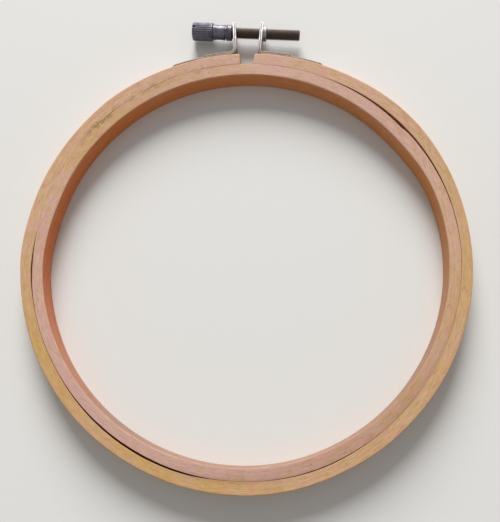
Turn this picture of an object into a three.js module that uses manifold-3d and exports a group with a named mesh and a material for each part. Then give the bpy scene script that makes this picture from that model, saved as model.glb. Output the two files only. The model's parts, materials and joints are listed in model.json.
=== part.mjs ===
// An embroidery hoop in millimetres, +Z up. Two beech rings lie flat on z = 0, one inside the other.
// The outer ring is split at +Y, where a screw draws its ends together between two folded steel ears.
// The screw's head points to -X. Angles round the rings are degrees clockwise from the split, from above.

import * as THREE from 'three';
import { mergeVertices } from 'three/addons/utils/BufferGeometryUtils.js';
import Module from 'manifold-3d';

// Wooden rings
const innerBore = 130.8;
const innerWall = 3.3;
const outerWall = 3.9;
const ringHeight = 7.8;
const ringClearance = 0.2;
const ringEdge = 0.4;
const splitGap = 5.3;
const rightEndSlant = 0.4;

// The inner ring's strip is closed by a lap joint, whose outer tip lies a little below the ring's face
const lapTipAt = 50;
const lapRun = 22;
const lapStep = 2.5;
const lapDepth = 0.35;

// Where the strip's ends lie over each other the wall is thicker, towards the inside
const overlapFrom = -85;
const overlapTo = 60;
const overlapRamp = 26;
const overlapDepth = 1.1;

// Bent wood isn't quite round. Places where the line between the rings lies outside its circle, or within it
const meetingBulges = [
  { at: 24, spread: 14, off: -0.25 },
  { at: 80, spread: 17, off: 0.6 },
  { at: 170, spread: 18, off: 0.65 },
  { at: 255, spread: 9, off: 0.25 },
  { at: 330, spread: 20, off: -0.35 },
];

// Places where the sprung outer ring stands off the inner one
const standOffs = [
  { at: 44, spread: 10, off: 0.6 },
  { at: 66, spread: 9, off: 0.3 },
  { at: 159, spread: 8, off: 0.25 },
  { at: 201, spread: 7, off: 0.4 },
  { at: 216, spread: 9, off: 0.4 },
  { at: 266, spread: 5, off: 0.4 },
];

// Places where the outer face lies outside its circle
const outerBulges = [
  { at: 50, spread: 16, off: 1 },
  { at: 176, spread: 20, off: 0.55 },
  { at: 270, spread: 6, off: 0.3 },
  { at: 321, spread: 8, off: 0.4 },
];

// Steel brackets, each one strip folded double at the tip of its ear
const sheet = 0.5;
const foldGap = 0.1;
const seatGap = 0.1;
const bracketWidth = 7;
const earSetBack = 1;
const earReach = 14;
const earBend = 1;
const earRound = 4;
const earTipMargin = 0.3;
const underFoot = 23;
const overFoot = 11;
const footCorner = 2;
const footEase = 0.8;
const bushWall = 0.4;
const bushLength = 1.3;

// Tacks that hold each bracket: one near the ear through both layers, one short of the long foot's end
const nearTackAt = 6;
const farTackInset = 3.5;
const tackLength = 3;
const tackShankRadius = 0.5;
const tackHeadRadius = 1.1;
const tackHeadRise = 0.45;
const tackClearance = 0.25;

// Clamp screw
const shankRadius = 1.95;
const shankLength = 24.5;
const shankTip = 0.4;
const screwRise = 10.3;
const threadClearance = 0.15;
const earClearance = 0.4;
const shoulderClearance = 0.15;
const collarRadius = 2.75;
const collarLength = 2;
const grooveRadius = 2.2;
const grooveLength = 0.5;
const neckRadius = 2.7;
const neckWaist = 2.5;
const neckLength = 4.7;
const headRadius = 3.2;
const headLength = 7.6;
const headChamfer = 0.6;
const knurlTeeth = 26;
const knurlDepth = 0.25;
const knurlLand = { from: 0.3, to: 0.6 };
const slotWidth = 0.9;
const slotDepth = 1.1;

// How finely curves are divided
const ringSteps = 144;
const footSteps = 14;
const shortFootSteps = 6;
const bendSteps = 6;
const tipSteps = 8;
const outlineSteps = 12;
const roundSides = 32;
const tackSides = 16;

// Sizes worked out from those above
const midHeight = ringHeight / 2;
const innerRadius = innerBore / 2;
const innerOuterRadius = innerRadius + innerWall;
const outerInnerRadius = innerOuterRadius + ringClearance;
const outerRadius = outerInnerRadius + outerWall;
const foldPitch = sheet + foldGap;
const earThickness = sheet + foldPitch;
const degree = Math.PI / 180;
const splitAngle = Math.asin(splitGap / 2 / outerRadius) / degree;
const earAngle = splitAngle + (earSetBack + earThickness / 2) / outerRadius / degree;
const earTip = outerRadius + earReach;
const screwRadius = outerRadius + screwRise;
const tappedRadius = shankRadius + threadClearance;
const tackPlaces = { near: nearTackAt, far: underFoot - farTackInset };

// Mitres are limited, so that a sharp turn in a strip has no spike. A strip runs a little past its long foot's
// end, where the foot's outline trims it.
const mitreLimit = 0.5;
const trimAllowance = 0.5;

const beechOuter = new THREE.MeshStandardMaterial({ color: 0xc59b76, roughness: 0.62, metalness: 0 });
const beechInner = new THREE.MeshStandardMaterial({ color: 0xc8a08a, roughness: 0.62, metalness: 0 });
const plated = new THREE.MeshStandardMaterial({ color: 0xb9bbc4, roughness: 0.3, metalness: 1 });
const darkSteel = new THREE.MeshStandardMaterial({ color: 0x6f6c64, roughness: 0.4, metalness: 1 });

const wasm = await Module();
wasm.setup();

// A closed geometry as a solid that can be joined and cut
function solid(geometry) {
  const bare = geometry.clone();
  bare.deleteAttribute('normal');
  bare.deleteAttribute('uv');
  const merged = mergeVertices(bare, 1e-4);
  const corners = merged.index.array;
  const kept = [];
  for (let i = 0; i < corners.length; i += 3) {
    const [a, b, c] = corners.slice(i, i + 3);
    const real = a !== b && b !== c && c !== a;
    if (real) {
      kept.push(a, b, c);
    }
  }
  const vertProperties = new Float32Array(merged.attributes.position.array);
  return new wasm.Manifold(new wasm.Mesh({ numProp: 3, vertProperties, triVerts: new Uint32Array(kept) }));
}

function geometryOf(manifold) {
  const { vertProperties, triVerts } = manifold.getMesh();
  const geometry = new THREE.BufferGeometry();
  geometry.setAttribute('position', new THREE.BufferAttribute(new Float32Array(vertProperties), 3));
  geometry.setIndex(new THREE.BufferAttribute(new Uint32Array(triVerts), 1));
  geometry.computeVertexNormals();
  return geometry;
}

// A point at an angle from the split on one side of it, 1 for the right and -1 for the left
function polar(side, angle, radius) {
  return new THREE.Vector2(side * radius * Math.sin(angle * degree), radius * Math.cos(angle * degree));
}

// How far an uneven circle lies outside its true one at an angle, as a sum of smooth bumps
function unevenAt(places, angle) {
  const apart = (at) => THREE.MathUtils.euclideanModulo(angle - at + 180, 360) - 180;
  return places.reduce((sum, { at, spread, off }) => sum + off * Math.exp(-0.5 * (apart(at) / spread) ** 2), 0);
}

// The lap's tip sinks along its run and comes back in a short step
function lapSinkAt(angle) {
  const run = THREE.MathUtils.clamp((angle - lapTipAt + lapRun) / lapRun, 0, 1);
  const step = THREE.MathUtils.clamp((angle - lapTipAt) / lapStep, 0, 1);
  return lapDepth * (run ** 2 - step);
}

// The inner ring's two faces and the outer ring's, as radii at an angle
function innerBoreAt(angle) {
  const turned = THREE.MathUtils.euclideanModulo(angle + 180, 360) - 180;
  const half = overlapRamp / 2;
  const begun = THREE.MathUtils.smoothstep(turned, overlapFrom - half, overlapFrom + half);
  const ended = THREE.MathUtils.smoothstep(turned, overlapTo - half, overlapTo + half);
  return innerRadius - overlapDepth * (begun - ended);
}

function innerFaceAt(angle) {
  return innerOuterRadius + unevenAt(meetingBulges, angle) - lapSinkAt(angle);
}

function outerBoreAt(angle) {
  return outerInnerRadius + unevenAt(meetingBulges, angle) + unevenAt(standOffs, angle);
}

function outerFaceAt(angle) {
  return outerRadius + unevenAt(outerBulges, angle);
}

// A strip of wood with eased edges, carried round from one angle to another; 360 degrees closes it.
// The inside corners of the first end may lie further back, which slants that end.
function woodRing({ insideAt, outsideAt, from, to, slant = 0 }) {
  const closed = to - from === 360;
  const section = [
    [0, ringEdge, 0], [1, ringEdge, 0], [1, 0, ringEdge], [1, 0, ringHeight - ringEdge],
    [1, ringEdge, ringHeight], [0, ringEdge, ringHeight], [0, 0, ringHeight - ringEdge], [0, 0, ringEdge],
  ];
  const sides = section.length;
  const stations = closed ? ringSteps : ringSteps + 1;
  const positions = [];
  for (let i = 0; i < stations; i += 1) {
    for (const [outside, inset, z] of section) {
      const start = outside ? from : from - slant;
      const angle = start + ((to - start) * i) / ringSteps;
      const radius = outside ? outsideAt(angle) - inset : insideAt(angle) + inset;
      const { x, y } = polar(1, angle, radius);
      positions.push(x, y, z);
    }
  }
  const index = [];
  for (let i = 0; i < ringSteps; i += 1) {
    const here = i * sides;
    const next = ((i + 1) % stations) * sides;
    for (let j = 0; j < sides; j += 1) {
      const k = (j + 1) % sides;
      index.push(here + j, here + k, next + k, here + j, next + k, next + j);
    }
  }
  if (!closed) {
    const last = (stations - 1) * sides;
    for (let j = 1; j < sides - 1; j += 1) {
      index.push(0, j + 1, j);
      index.push(last, last + j, last + j + 1);
    }
  }
  const geometry = new THREE.BufferGeometry();
  geometry.setAttribute('position', new THREE.Float32BufferAttribute(positions, 3));
  geometry.setIndex(index);
  return geometry;
}

// Turns a geometry made round the Y axis so that it stands outwards from the ring at an angle
function standOut(geometry, side, angle, radius) {
  const foot = polar(side, angle, radius);
  return geometry.rotateZ(-side * angle * degree).translate(foot.x, foot.y, midHeight);
}

// Turns a geometry made round the Y axis so that it lies along the screw. The right ear's thread is square
// to that ear, so the screw's line is too. Y becomes the way from the head to the tip.
function alongScrew(geometry) {
  const middle = polar(1, earAngle, screwRadius);
  return geometry.rotateZ(-Math.PI / 2 - earAngle * degree).translate(middle.x, middle.y, midHeight);
}

// A flat outline of a strip that follows a line of points, with mitred corners
function stripOutline(line, thickness) {
  const near = [];
  const far = [];
  line.forEach((point, i) => {
    const before = point.clone().sub(line[Math.max(i - 1, 0)]).normalize();
    const after = line[Math.min(i + 1, line.length - 1)].clone().sub(point).normalize();
    const along = before.clone().add(after).normalize();
    const reach = thickness / 2 / Math.max(along.dot(i === 0 ? after : before), mitreLimit);
    const across = new THREE.Vector2(-along.y, along.x).multiplyScalar(reach);
    near.push(point.clone().add(across));
    far.push(point.clone().sub(across));
  });
  return new THREE.Shape([...near, ...far.reverse()]);
}

// A point beside an ear: x is measured away from the split, square to the ear, and y outwards along it
function besideEar(side, x, y) {
  const sin = Math.sin(earAngle * degree);
  const cos = Math.cos(earAngle * degree);
  return new THREE.Vector2(side * (x * cos + y * sin), y * cos - x * sin);
}

function arcPoints(steps, from, to, place) {
  return Array.from({ length: steps + 1 }, (_, i) => place((from + ((to - from) * i) / steps) * degree));
}

// The line that a bracket's strip follows, from the end of the foot on the wood, up the side of the ear that
// faces the split, over its tip, down the other side, and along the first foot to the strip's other end
function bracketLine(side) {
  const degreesFor = (length) => length / outerRadius / degree;
  const seat = seatGap + sheet / 2;
  const footPoint = (angle, rise) => polar(side, angle, outerFaceAt(side * angle) + seat + rise);
  const bendX = earBend + foldPitch / 2;
  const bendY = outerFaceAt(side * earAngle) + seat + earBend + foldPitch;
  const bendAngle = earAngle + degreesFor(bendX + footEase);
  const bend = (radius) => (turn) => besideEar(
    side,
    bendX - radius * Math.cos(turn),
    bendY - radius * Math.sin(turn),
  );
  const tip = (turn) => besideEar(
    side,
    -(foldPitch / 2) * Math.cos(turn),
    earTip - earThickness / 2 + (foldPitch / 2) * Math.sin(turn),
  );
  const underEnd = earAngle + degreesFor(underFoot + trimAllowance);
  const overEnd = earAngle + degreesFor(overFoot);
  const foot = (from, to, steps, rise) => (
    arcPoints(steps, from, to, (turn) => footPoint(turn / degree, rise))
  );
  return [
    ...foot(underEnd, bendAngle, footSteps, 0),
    ...arcPoints(bendSteps, 90, 0, bend(earBend + foldPitch)),
    ...arcPoints(tipSteps, 0, 180, tip),
    ...arcPoints(bendSteps, 0, 90, bend(earBend)),
    ...foot(bendAngle, overEnd, shortFootSteps, foldPitch),
  ];
}

// A slab with an outline drawn across the hoop's height and along a direction in plan. It keeps what lies
// inside the outline, so a strip that it meets gets that outline.
function keepSlab(outline, origin, along) {
  const depth = 4 * underFoot;
  const geometry = new THREE.ExtrudeGeometry(outline, {
    depth,
    bevelEnabled: false,
    curveSegments: outlineSteps,
  });
  const up = new THREE.Vector3(0, 0, 1);
  const way = new THREE.Vector3(along.x, along.y, 0);
  const through = new THREE.Vector3().crossVectors(up, way);
  const frame = new THREE.Matrix4().makeBasis(up, way, through);
  geometry.translate(0, 0, -depth / 2).applyMatrix4(frame);
  return solid(geometry.translate(origin.x, origin.y, midHeight));
}

// The outline of an ear: the strip's full width, then a round end that leaves the fold at its tip whole
function earOutline() {
  const wide = bracketWidth;
  const middle = earTip + earTipMargin - earRound;
  const outline = new THREE.Shape();
  outline.moveTo(wide, 0);
  outline.lineTo(wide, middle);
  outline.lineTo(earRound, middle);
  outline.absarc(0, middle, earRound, 0, Math.PI, false);
  outline.lineTo(-wide, middle);
  outline.lineTo(-wide, 0);
  return outline;
}

// The outline of the long foot's end, with rounded corners
function footOutline() {
  const wide = bracketWidth;
  const half = bracketWidth / 2;
  const outline = new THREE.Shape();
  outline.moveTo(wide, -2 * underFoot);
  outline.lineTo(wide, -footCorner);
  outline.lineTo(half, -footCorner);
  outline.absarc(half - footCorner, -footCorner, footCorner, 0, Math.PI / 2, false);
  outline.lineTo(footCorner - half, 0);
  outline.absarc(footCorner - half, -footCorner, footCorner, Math.PI / 2, Math.PI, false);
  outline.lineTo(-wide, -footCorner);
  outline.lineTo(-wide, -2 * underFoot);
  return outline;
}

function tackAngle(place) {
  return earAngle + tackPlaces[place] / outerRadius / degree;
}

// The face that a tack's head rests on: the near tack holds both layers of the strip, the far one holds one
function tackSeat(side, place) {
  const layers = tackPlaces[place] < overFoot ? earThickness : sheet;
  return outerFaceAt(side * tackAngle(place)) + seatGap + layers;
}

function tackHole(side, place) {
  const depth = tackLength + tackHeadRise;
  const radius = tackShankRadius + tackClearance;
  const hole = new THREE.CylinderGeometry(radius, radius, 2 * depth, tackSides);
  return solid(standOut(hole, side, tackAngle(place), tackSeat(side, place) + tackHeadRise));
}

// Drills a solid where the two tacks of one side pass through it
function drillForTacks(body, side) {
  return Object.keys(tackPlaces).reduce((left, place) => left.subtract(tackHole(side, place)), body);
}

function bracket(side) {
  const strip = new THREE.ExtrudeGeometry(stripOutline(bracketLine(side), sheet), {
    depth: bracketWidth,
    bevelEnabled: false,
  });
  let body = solid(strip.translate(0, 0, midHeight - bracketWidth / 2));
  body = body.intersect(keepSlab(earOutline(), new THREE.Vector2(), polar(side, earAngle, 1)));
  const endAngle = earAngle + underFoot / outerRadius / degree;
  const end = polar(side, endAngle, outerFaceAt(side * endAngle));
  body = body.intersect(keepSlab(footOutline(), end, polar(side, endAngle + 90, 1)));
  if (side === 1) {
    const bushRadius = tappedRadius + bushWall;
    const length = bushLength + sheet / 2;
    const bush = new THREE.CylinderGeometry(bushRadius, bushRadius, length, roundSides);
    bush.translate(0, earThickness / 2 - sheet / 2 + length / 2, 0);
    body = body.add(solid(alongScrew(bush)));
  }
  const holeRadius = side === 1 ? tappedRadius : shankRadius + earClearance;
  const hole = new THREE.CylinderGeometry(holeRadius, holeRadius, 4 * bracketWidth, roundSides);
  if (side === -1) {
    hole.translate(0, -screwSpan(), 0);
  }
  return drillForTacks(body.subtract(solid(alongScrew(hole))), side);
}

// How far apart the ears are along the screw, which meets the left one at twice the ears' own angle
function screwSpan() {
  return screwRadius * Math.tan(2 * earAngle * degree);
}

// The screw's shoulder stands clear of the left ear, which leans across it
function shoulderBack() {
  const lean = 2 * earAngle * degree;
  const face = earThickness / 2 / Math.cos(lean);
  return screwSpan() + face + collarRadius * Math.tan(lean) + shoulderClearance;
}

// The knurled barrel of the screw's head: straight teeth inside a chamfered envelope
function knurledBarrel() {
  const teeth = new THREE.Shape();
  for (let i = 0; i < knurlTeeth; i += 1) {
    [[0, knurlDepth], [knurlLand.from, 0], [knurlLand.to, 0]].forEach(([share, inset], corner) => {
      const turn = ((i + share) / knurlTeeth) * 2 * Math.PI;
      const radius = headRadius - inset;
      const draw = i === 0 && corner === 0 ? 'moveTo' : 'lineTo';
      teeth[draw](radius * Math.cos(turn), radius * Math.sin(turn));
    });
  }
  const prism = new THREE.ExtrudeGeometry(teeth, { depth: headLength, bevelEnabled: false });
  const envelope = new THREE.LatheGeometry([
    new THREE.Vector2(0, 0),
    new THREE.Vector2(headRadius - headChamfer, 0),
    new THREE.Vector2(headRadius, headChamfer),
    new THREE.Vector2(headRadius, headLength - headChamfer),
    new THREE.Vector2(neckRadius, headLength),
    new THREE.Vector2(0, headLength),
  ], 2 * knurlTeeth);
  return solid(prism.rotateX(-Math.PI / 2)).intersect(solid(envelope));
}

// The turned rest of the screw: waisted neck, groove, collar and shank, from the barrel towards the tip
function turnedStem() {
  const neckEnd = headLength + neckLength - grooveLength;
  const shoulder = headLength + neckLength + collarLength;
  const tip = shoulder + shankLength;
  const profile = new THREE.Path();
  profile.moveTo(0, headLength - headChamfer);
  profile.lineTo(neckRadius, headLength - headChamfer);
  profile.lineTo(neckRadius, headLength);
  profile.quadraticCurveTo(2 * neckWaist - neckRadius, (headLength + neckEnd) / 2, neckRadius, neckEnd);
  profile.lineTo(grooveRadius, neckEnd + grooveLength / 4);
  profile.lineTo(grooveRadius, neckEnd + (grooveLength * 3) / 4);
  profile.lineTo(collarRadius, neckEnd + grooveLength);
  profile.lineTo(collarRadius, shoulder);
  profile.lineTo(shankRadius, shoulder);
  profile.lineTo(shankRadius, tip - shankTip);
  profile.lineTo(shankRadius - shankTip, tip);
  profile.lineTo(0, tip);
  return solid(new THREE.LatheGeometry(profile.getPoints(bendSteps), roundSides));
}

function clampScrew() {
  const slot = new THREE.BoxGeometry(slotWidth, 2 * slotDepth, 4 * headRadius);
  const body = knurledBarrel().add(turnedStem()).subtract(solid(slot));
  const headBack = shoulderBack() + collarLength + neckLength + headLength;
  return alongScrew(geometryOf(body).translate(0, -headBack, 0));
}

// A tack made round the Y axis, with its head's flat underside at y = 0
function tackGeometry() {
  const profile = new THREE.Path();
  profile.moveTo(0, -tackLength);
  profile.lineTo(tackShankRadius, 2 * tackShankRadius - tackLength);
  profile.lineTo(tackShankRadius, 0);
  profile.lineTo(tackHeadRadius, 0);
  profile.quadraticCurveTo(tackHeadRadius, tackHeadRise, 0, tackHeadRise);
  return geometryOf(solid(new THREE.LatheGeometry(profile.getPoints(4), tackSides)));
}

const hoop = new THREE.Group();

function addPiece(name, geometry, material) {
  const piece = new THREE.Mesh(geometry, material);
  piece.name = name;
  hoop.add(piece);
  return piece;
}

const innerRing = woodRing({
  insideAt: innerBoreAt,
  outsideAt: innerFaceAt,
  from: 0,
  to: 360,
});
const outerRing = woodRing({
  insideAt: outerBoreAt,
  outsideAt: outerFaceAt,
  from: splitAngle,
  to: 360 - splitAngle,
  slant: rightEndSlant / outerInnerRadius / degree,
});

addPiece('inner_ring', geometryOf(solid(innerRing)), beechInner);
addPiece('outer_ring', geometryOf(drillForTacks(drillForTacks(solid(outerRing), 1), -1)), beechOuter);
addPiece('clamp_screw', clampScrew(), darkSteel);

for (const [word, side] of [['left', -1], ['right', 1]]) {
  addPiece(`bracket_${word}`, geometryOf(bracket(side)), plated);
  for (const place of Object.keys(tackPlaces)) {
    const tack = addPiece(`tack_${word}_${place}`, tackGeometry(), plated);
    const seat = polar(side, tackAngle(place), tackSeat(side, place) + seatGap / 2);
    tack.position.set(seat.x, seat.y, midHeight);
    tack.rotation.z = -side * tackAngle(place) * degree;
  }
}

// The origin is under the middle of the hoop's length, from the ears' tips to the far side of the rings
const extent = new THREE.Box3().setFromObject(hoop, true);
hoop.position.y = -(extent.min.y + extent.max.y) / 2;

export default hoop;
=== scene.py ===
# %% [markdown]
# # A wooden embroidery hoop
#
# Two beech rings lie one in the other and hold cloth between them. The outer ring is split, and a screw
# draws its ends together between two folded steel ears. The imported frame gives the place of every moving
# piece. Its boxes and joints are read here, so that nothing has to be fitted by eye.

# %% Load the frame
import json
import math
from types import SimpleNamespace

import bmesh
import bpy
import numpy as np
from mathutils import Matrix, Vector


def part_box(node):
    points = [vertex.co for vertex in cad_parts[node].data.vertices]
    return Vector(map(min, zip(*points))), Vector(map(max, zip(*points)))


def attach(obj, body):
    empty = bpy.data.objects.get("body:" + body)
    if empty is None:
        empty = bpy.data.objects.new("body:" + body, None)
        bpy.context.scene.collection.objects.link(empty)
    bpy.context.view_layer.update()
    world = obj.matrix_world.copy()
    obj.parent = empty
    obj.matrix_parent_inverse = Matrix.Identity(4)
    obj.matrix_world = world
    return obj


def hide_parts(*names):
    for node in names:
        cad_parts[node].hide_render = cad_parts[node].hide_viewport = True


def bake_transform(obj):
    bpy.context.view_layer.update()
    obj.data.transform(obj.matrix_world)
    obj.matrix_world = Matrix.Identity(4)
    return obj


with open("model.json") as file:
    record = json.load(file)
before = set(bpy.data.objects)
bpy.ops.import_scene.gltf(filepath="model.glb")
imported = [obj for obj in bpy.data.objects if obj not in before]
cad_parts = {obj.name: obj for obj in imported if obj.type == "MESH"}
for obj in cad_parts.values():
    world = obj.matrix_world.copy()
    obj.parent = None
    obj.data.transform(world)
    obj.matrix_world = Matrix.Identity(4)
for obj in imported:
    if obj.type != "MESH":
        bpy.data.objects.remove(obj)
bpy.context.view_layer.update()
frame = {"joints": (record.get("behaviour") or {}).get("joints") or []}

# %% [markdown]
# ## Sizes
#
# Lengths are in millimetres and angles in degrees clockwise from the split, seen from above, as a maker
# would mark them on the ring. The rings' radii are typed in, because bent wood has no box that shows them.
# The rest could be typed too, but the height and the screw's line are read from the frame, and the screw
# gives the ears' lean and the rings' middle.

# %% Measure the frame
MM = 0.001
inner_inside, inner_outside = 65.4, 68.7
outer_inside, outer_outside = 68.9, 72.8
screw_rise = 10.3
ring_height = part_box("inner_ring")[1][2] / MM
middle_height = ring_height / 2
joints = {joint["name"]: joint for joint in frame["joints"]}
screw_seat = np.array(joints["screw_turn"]["pos_m"]) / MM
towards_tip = -np.array(joints["screw_turn"]["axis"])
ear_angle = math.degrees(math.atan2(-towards_tip[1], towards_tip[0]))
ear_way = np.array([math.sin(math.radians(ear_angle)), math.cos(math.radians(ear_angle))])
ring_middle = screw_seat[:2] - (outer_outside + screw_rise) * ear_way
print("rings' middle", np.round(ring_middle, 3), "and the ears' lean in degrees", round(ear_angle, 3))

# %% [markdown]
# ## The camera
#
# The photograph looks down on the hoop from a little nearer than its middle, so the inner wall shows more at
# the top than at the bottom. The camera could be set by its rotation angles. Here it is given the point that
# it looks at and the direction that is up in the picture, because both can be checked against the hoop.

# %% Place the camera
eye = np.array([10.82, -54.15, 191.62])
aim = np.array([1.88, -7.58, 0.0])
picture_up = np.array([-0.006, 0.9716, 0.2364])
lens_mm = 40.68
sensor_mm = 36
closest = 10


def unit(vectors):
    """Vectors with the same directions and a length of 1."""
    return vectors / np.linalg.norm(vectors, axis=-1, keepdims=True)


def show(name, data):
    """A new object in the scene that holds a mesh, a lens or a lamp."""
    thing = bpy.data.objects.new(name, data)
    bpy.context.scene.collection.objects.link(thing)
    return thing


def aimed(spot, backward, up):
    """The placing of a camera or lamp at a spot in metres. It looks against backward, with its top to up."""
    backward = unit(backward)
    rightward = unit(np.cross(up, backward))
    turned = np.column_stack([rightward, np.cross(backward, rightward), backward])
    return Matrix.Translation(spot) @ Matrix(turned.tolist()).to_4x4()


lens = bpy.data.cameras.new("camera")
lens.lens = lens_mm
lens.sensor_width = sensor_mm
lens.clip_start = closest * MM
camera = show("camera", lens)
camera.matrix_world = aimed(eye * MM, eye - aim, picture_up)
bpy.context.scene.camera = camera
print("camera", round(float(np.linalg.norm(eye - aim))), "mm from its aim")

# %% [markdown]
# ## Floor and light
#
# A plain pale floor catches the hoop's shadow. The light comes mostly from one large soft panel, rather low
# beyond the clamp, so shadows lie inside the ring at the top and outside it at the bottom. A sun lamp would
# do for the direction, but its shadows would have too even an edge. The sky fills in the rest, and the camera
# and the metal see it as a pale backdrop.

# %% Build the floor
floor_reach = 3.0
floor_drop = 0.00002


def set_inputs(node, inputs):
    """Sets a node's inputs: an output socket is linked, and anything else is a plain value. The id_data of a
    node or socket is the tree that it is in."""
    for key, value in inputs.items():
        socket = node.inputs[key]
        if isinstance(value, bpy.types.NodeSocket):
            node.id_data.links.new(value, socket)
        else:
            socket.default_value = value


def add(tree, kind, inputs=None, output=0, **options):
    """Adds one node with its options and inputs, and returns one of its outputs."""
    node = tree.nodes.new("ShaderNode" + kind)
    for key, value in options.items():
        setattr(node, key, value)
    set_inputs(node, inputs or {})
    return node.outputs[output]


def maths(operation, first, second=0.0):
    """One operation on two numbers, such as MULTIPLY or MAXIMUM. The first one is a socket."""
    return add(first.id_data, "Math", {0: first, 1: second}, operation=operation)


def tone(red, green, blue):
    """A colour as a screen shows it, from 0 to 255, made linear by the screens' usual curve for Blender."""
    share = np.array([red, green, blue]) / 255
    linear = np.where(share <= 0.04045, share / 12.92, ((share + 0.055) / 1.055) ** 2.4)
    return (*linear.tolist(), 1.0)


def new_material(name):
    """An empty material whose principled shader is wired to its output. Returns its tree and shader too."""
    material = bpy.data.materials.new(name)
    material.use_nodes = True
    tree = material.node_tree
    tree.nodes.clear()
    shader = tree.nodes.new("ShaderNodeBsdfPrincipled")
    end = tree.nodes.new("ShaderNodeOutputMaterial")
    tree.links.new(shader.outputs[0], end.inputs["Surface"])
    return material, tree, shader


floor_mesh = bpy.data.meshes.new("floor")
sides = ((-1, -1), (1, -1), (1, 1), (-1, 1))
corners = [(x * floor_reach, y * floor_reach, -floor_drop) for x, y in sides]
floor_mesh.from_pydata(corners, [], [(0, 1, 2, 3)])
floor = show("floor", floor_mesh)
floor_paint, _, shader = new_material("pale_floor")
set_inputs(shader, {"Base Color": tone(226, 224, 220), "Roughness": 0.8})
floor_mesh.materials.append(floor_paint)
print("floor", 2 * floor_reach, "metres wide")

# %% Light the hoop
sky_light = 0.32
backdrop_light = 1.0
panel_way = unit(np.array([-0.09, 1.0, 0.5]))
panel_distance = 5.0
panel_width = 2.9
panel_power = 388.0

world = bpy.data.worlds.new("studio")
world.use_nodes = True
bpy.context.scene.world = world
sky = world.node_tree
sky.nodes.clear()
rays = sky.nodes.new("ShaderNodeLightPath").outputs
seen = maths("MAXIMUM", rays["Is Camera Ray"], rays["Is Glossy Ray"])
seen = maths("MAXIMUM", seen, rays["Is Transmission Ray"])
lamp = add(sky, "Background", {"Color": (1, 1, 1, 1), "Strength": sky_light})
backdrop = add(sky, "Background", {"Color": tone(222, 222, 222), "Strength": backdrop_light})
chosen = add(sky, "MixShader", {0: seen, 1: lamp, 2: backdrop})
end = sky.nodes.new("ShaderNodeOutputWorld")
sky.links.new(chosen, end.inputs["Surface"])

panel = bpy.data.lights.new("panel", "AREA")
panel.shape = "DISK"
panel.size = panel_width
panel.energy = panel_power
show("panel", panel).matrix_world = aimed(panel_way * panel_distance, panel_way, [0, 0, 1])
bpy.context.scene.view_settings.view_transform = "Standard"
print("light from", np.round(panel_way, 2))

# %% [markdown]
# ## Surfaces from grids
#
# Every new piece is a grid of points worked out by a formula, with four-sided faces between neighbours.
# Meshes could also be sculpted or cut from blocks, but a grid has rows along the wood or the metal, and grain
# and brushing follow them through a UV map. U is the way along the piece and V the way round it, in metres.

# %% Helpers for grids
smooth_below = 35.0
weld_reach = 2e-7


def grid_faces(rows, columns, close_rows=False, close_columns=False):
    """Vertex numbers of the faces between neighbouring rows and columns, last to first again where closed,
    and row and column numbers that don't wrap, for the UV map."""
    size = (rows - (not close_rows), columns - (not close_columns))
    row, column = np.indices(size).reshape(2, -1, 1)
    rows_round, columns_round = row + [0, 0, 1, 1], column + [0, 1, 1, 0]
    return (rows_round % rows) * columns + columns_round % columns, rows_round, columns_round


def weld(mesh):
    """Joins points that share a place, drops what collapses, turns faces outwards and prints the result."""
    work = bmesh.new()
    work.from_mesh(mesh)
    bmesh.ops.remove_doubles(work, verts=work.verts, dist=weld_reach)
    bmesh.ops.dissolve_degenerate(work, edges=work.edges, dist=weld_reach)
    bmesh.ops.recalc_face_normals(work, faces=work.faces)
    if work.calc_volume(signed=True) < 0:
        bmesh.ops.reverse_faces(work, faces=work.faces)
    loose = sum(1 for edge in work.edges if len(edge.link_faces) != 2)
    volume = work.calc_volume() / MM ** 3
    print(f"{mesh.name}: {len(work.faces)} faces, {volume:.1f} cubic mm, {loose} edges not shared by two")
    work.to_mesh(mesh)
    work.free()


def build(name, points, faces, uvs, marks=None, caps=(), sharp=smooth_below):
    """Makes a mesh object from a grid of points, the faces' vertex numbers and the uvs at their corners, in
    millimetres. marks are named numbers for the grid, and caps (vertex numbers, uvs) of flat end faces."""
    mesh = bpy.data.meshes.new(name)
    every = faces.tolist() + [list(cap) for cap, _ in caps]
    mesh.from_pydata((points.reshape(-1, 3) * MM).tolist(), [], every)
    flat = np.concatenate([uvs.reshape(-1, 2)] + [uv for _, uv in caps]) * MM
    mesh.uv_layers.new(name="grain").data.foreach_set("uv", flat.astype(np.float32).ravel())
    for key, values in (marks or {}).items():
        attribute = mesh.attributes.new(key, "FLOAT", "POINT")
        whole = np.broadcast_to(values, points.shape[:2])
        attribute.data.foreach_set("value", whole.astype(np.float32).ravel())
    material_numbers = np.zeros(len(every), np.int32)
    material_numbers[len(faces):] = 1
    mesh.polygons.foreach_set("material_index", material_numbers)
    weld(mesh)
    mesh.shade_smooth()
    mesh.set_sharp_from_angle(angle=math.radians(sharp))
    return show(name, mesh)


def way_along(line):
    """Millimetres along a line from its first point to each of its points."""
    return np.append(0.0, np.cumsum(np.linalg.norm(np.diff(line, axis=0), axis=1)))


def way_round(row):
    """Millimetres along a closed row of points, with the way back to its first one."""
    return way_along(np.concatenate([row, row[:1]]))


def arc(radius, offset):
    """How far a circle reaches at an offset from its middle: the root of one square less the other."""
    return np.sqrt(np.clip(radius ** 2 - offset ** 2, 0, None))

# %% [markdown]
# ## Numbers round a ring
#
# Bent wood is never quite round. Its faces could be drawn by hand, but a few smooth bumps and waves, added
# to a true circle, follow the photograph and close on themselves. The same bumps place what is only paint:
# the tinted and bruised stretches, and the painted shade along the joint.

# %% Helpers for angles
def round_ring(angle, radius):
    """Points in plan round the rings' middle, x and y last, for arrays of angles and radii."""
    turn = np.radians(angle)
    return np.stack([radius * np.sin(turn), radius * np.cos(turn)], axis=-1)


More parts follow.
